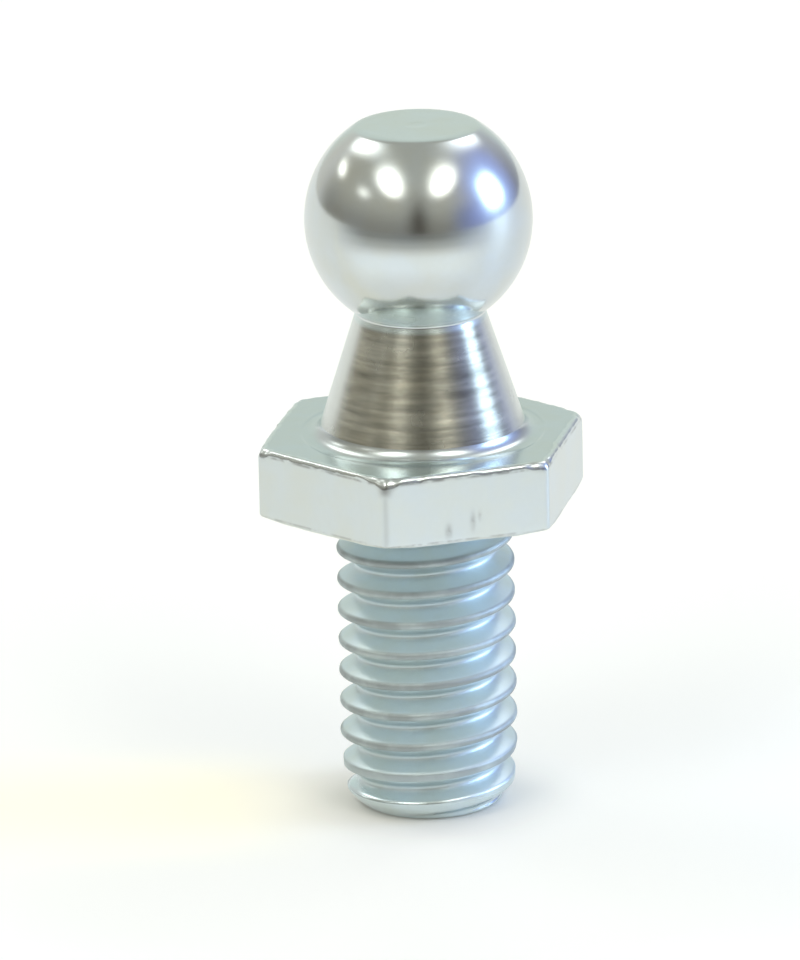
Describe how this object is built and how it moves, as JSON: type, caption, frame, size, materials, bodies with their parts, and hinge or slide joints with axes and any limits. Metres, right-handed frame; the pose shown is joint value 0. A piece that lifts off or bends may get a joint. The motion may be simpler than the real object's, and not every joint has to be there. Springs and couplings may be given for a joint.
{
  "type": "ball stud",
  "caption": "One-piece ball stud: a ball with a flat top on a cone, a hexagonal flange to tighten it by, and a right-handed threaded shank below.",
  "frame": {"origin": "centre of the thread's flat end face, which is the bottom centre of the bounding box", "axes": "+Z along the stud's axis towards the ball; the hexagon has corners on +X and -X and flats facing +Y and -Y"},
  "size_m": [0.015, 0.013, 0.031],
  "materials": {
    "zinc_steel": "bright zinc plate, faintly blue: near-mirror on the ball, fine turning marks on the cone, satin rolled thread"
  },
  "bodies": {
    "root": {"ball_stud": "zinc_steel"}
  },
  "joints": []
}
